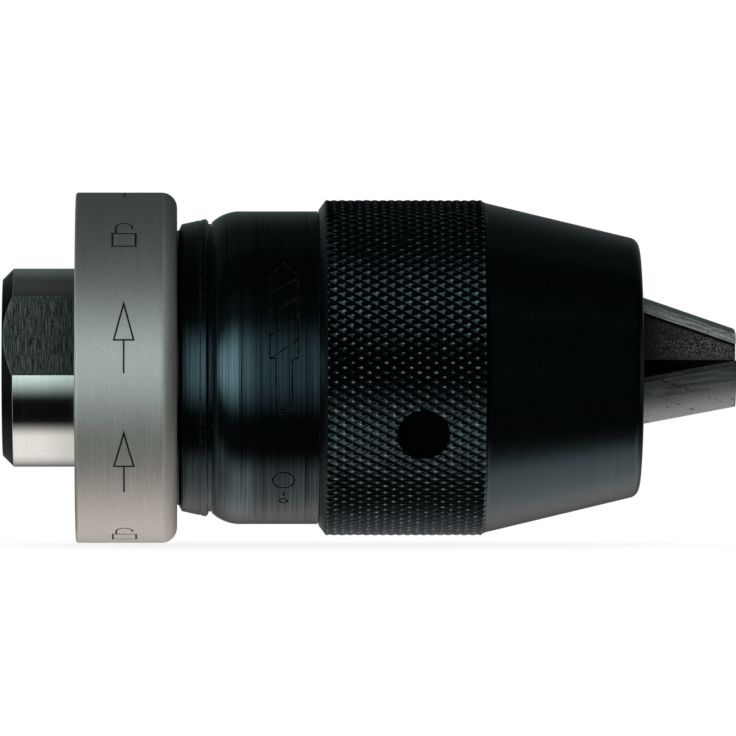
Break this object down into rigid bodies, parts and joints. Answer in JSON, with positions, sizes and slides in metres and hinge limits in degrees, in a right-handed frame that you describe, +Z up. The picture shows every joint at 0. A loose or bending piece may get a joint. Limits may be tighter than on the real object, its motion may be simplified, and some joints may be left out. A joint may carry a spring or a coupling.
{
  "type": "keyless drill chuck",
  "caption": "Keyless drill chuck with a knurled clamping sleeve, a satin release ring, a hub with wrench flats and self-centring jaws on a cone.",
  "frame": {"origin": "centre of the hub's rear face, on the axis of the spindle bore", "axes": "+X along the chuck axis towards the jaws, +Z up"},
  "size_m": [0.0938, 0.0448, 0.0448],
  "materials": {
    "hub_steel": "ground and turned bare steel",
    "ring_steel": "satin, fine turned lines",
    "black_steel": "black oxide on turned steel",
    "jaw_steel": "dark hardened steel, ground",
    "plain_steel": "machined, lightly oiled",
    "bearing_steel": "polished hardened steel",
    "cage_brass": "plain"
  },
  "bodies": {
    "chuck_body": {"chuck_body": "hub_steel", "front_race": "bearing_steel", "pawl_carrier": "plain_steel", "pawl_pins": "bearing_steel", "pawl_springs": "bearing_steel", "stop_pin": "bearing_steel", "ring_circlip": "black_steel"},
    "release_ring": {"release_ring": "ring_steel", "ring_cover": "plain_steel"},
    "pawl_a": {"pawl_a": "plain_steel"},
    "pawl_b": {"pawl_b": "plain_steel"},
    "sleeve": {"clamping_sleeve": "black_steel", "rear_sleeve": "black_steel", "jaw_guide": "plain_steel", "guide_dowels": "bearing_steel", "bearing_nut": "black_steel", "ratchet_ring": "plain_steel", "rear_race": "bearing_steel"},
    "ball_set": {"ball_cage": "cage_brass", "bearing_balls": "bearing_steel"},
    "feed_screw": {"feed_screw": "plain_steel"},
    "jaw_1": {"jaw_1": "jaw_steel"},
    "jaw_2": {"jaw_2": "jaw_steel"},
    "jaw_3": {"jaw_3": "jaw_steel"}
  },
  "joints": [
    {"name": "sleeve_turn", "type": "hinge", "parent": "chuck_body", "child": "sleeve", "pos_m": [0.05, 0, 0], "axis": [1, 0, 0], "range_deg": [0, 2088]},
    {"name": "ring_turn", "type": "hinge", "parent": "chuck_body", "child": "release_ring", "pos_m": [0.0158, 0, 0], "axis": [1, 0, 0], "range_deg": [0, 18]},
    {"name": "pawl_a_swing", "type": "hinge", "parent": "chuck_body", "child": "pawl_a", "pos_m": [0.0175, -0.00636, 0.0163], "axis": [1, 0, 0], "range_deg": [-4.6, 0.1]},
    {"name": "pawl_b_swing", "type": "hinge", "parent": "chuck_body", "child": "pawl_b", "pos_m": [0.0175, 0.00636, -0.0163], "axis": [1, 0, 0], "range_deg": [-4.6, 0.1]},
    {"name": "ball_set_turn", "type": "hinge", "parent": "chuck_body", "child": "ball_set", "pos_m": [0.028, 0, 0], "axis": [1, 0, 0], "range_deg": [0, 1045]},
    {"name": "feed_screw_travel", "type": "slide", "parent": "sleeve", "child": "feed_screw", "axis": [-1, 0, 0], "range_m": [0, 0.01452]},
    {"name": "jaw_1_travel", "type": "slide", "parent": "sleeve", "child": "jaw_1", "axis": [-0.9455, -0.2755, -0.1735], "range_m": [0, 0.01536]},
    {"name": "jaw_2_travel", "type": "slide", "parent": "sleeve", "child": "jaw_2", "axis": [-0.9455, -0.0125, 0.3253], "range_m": [0, 0.01536]},
    {"name": "jaw_3_travel", "type": "slide", "parent": "sleeve", "child": "jaw_3", "axis": [-0.9455, 0.288, -0.1518], "range_m": [0, 0.01536]}
  ],
  "couplings": [
    {"joint": "pawl_a_swing", "follows": "ring_turn", "ratio": -0.25},
    {"joint": "pawl_b_swing", "follows": "ring_turn", "ratio": -0.25},
    {"joint": "ball_set_turn", "follows": "sleeve_turn", "ratio": 0.5},
    {"joint": "feed_screw_travel", "follows": "sleeve_turn", "m_per_rad": 0.00039789},
    {"joint": "jaw_1_travel", "follows": "sleeve_turn", "m_per_rad": 0.00042081},
    {"joint": "jaw_2_travel", "follows": "sleeve_turn", "m_per_rad": 0.00042081},
    {"joint": "jaw_3_travel", "follows": "sleeve_turn", "m_per_rad": 0.00042081}
  ]
}
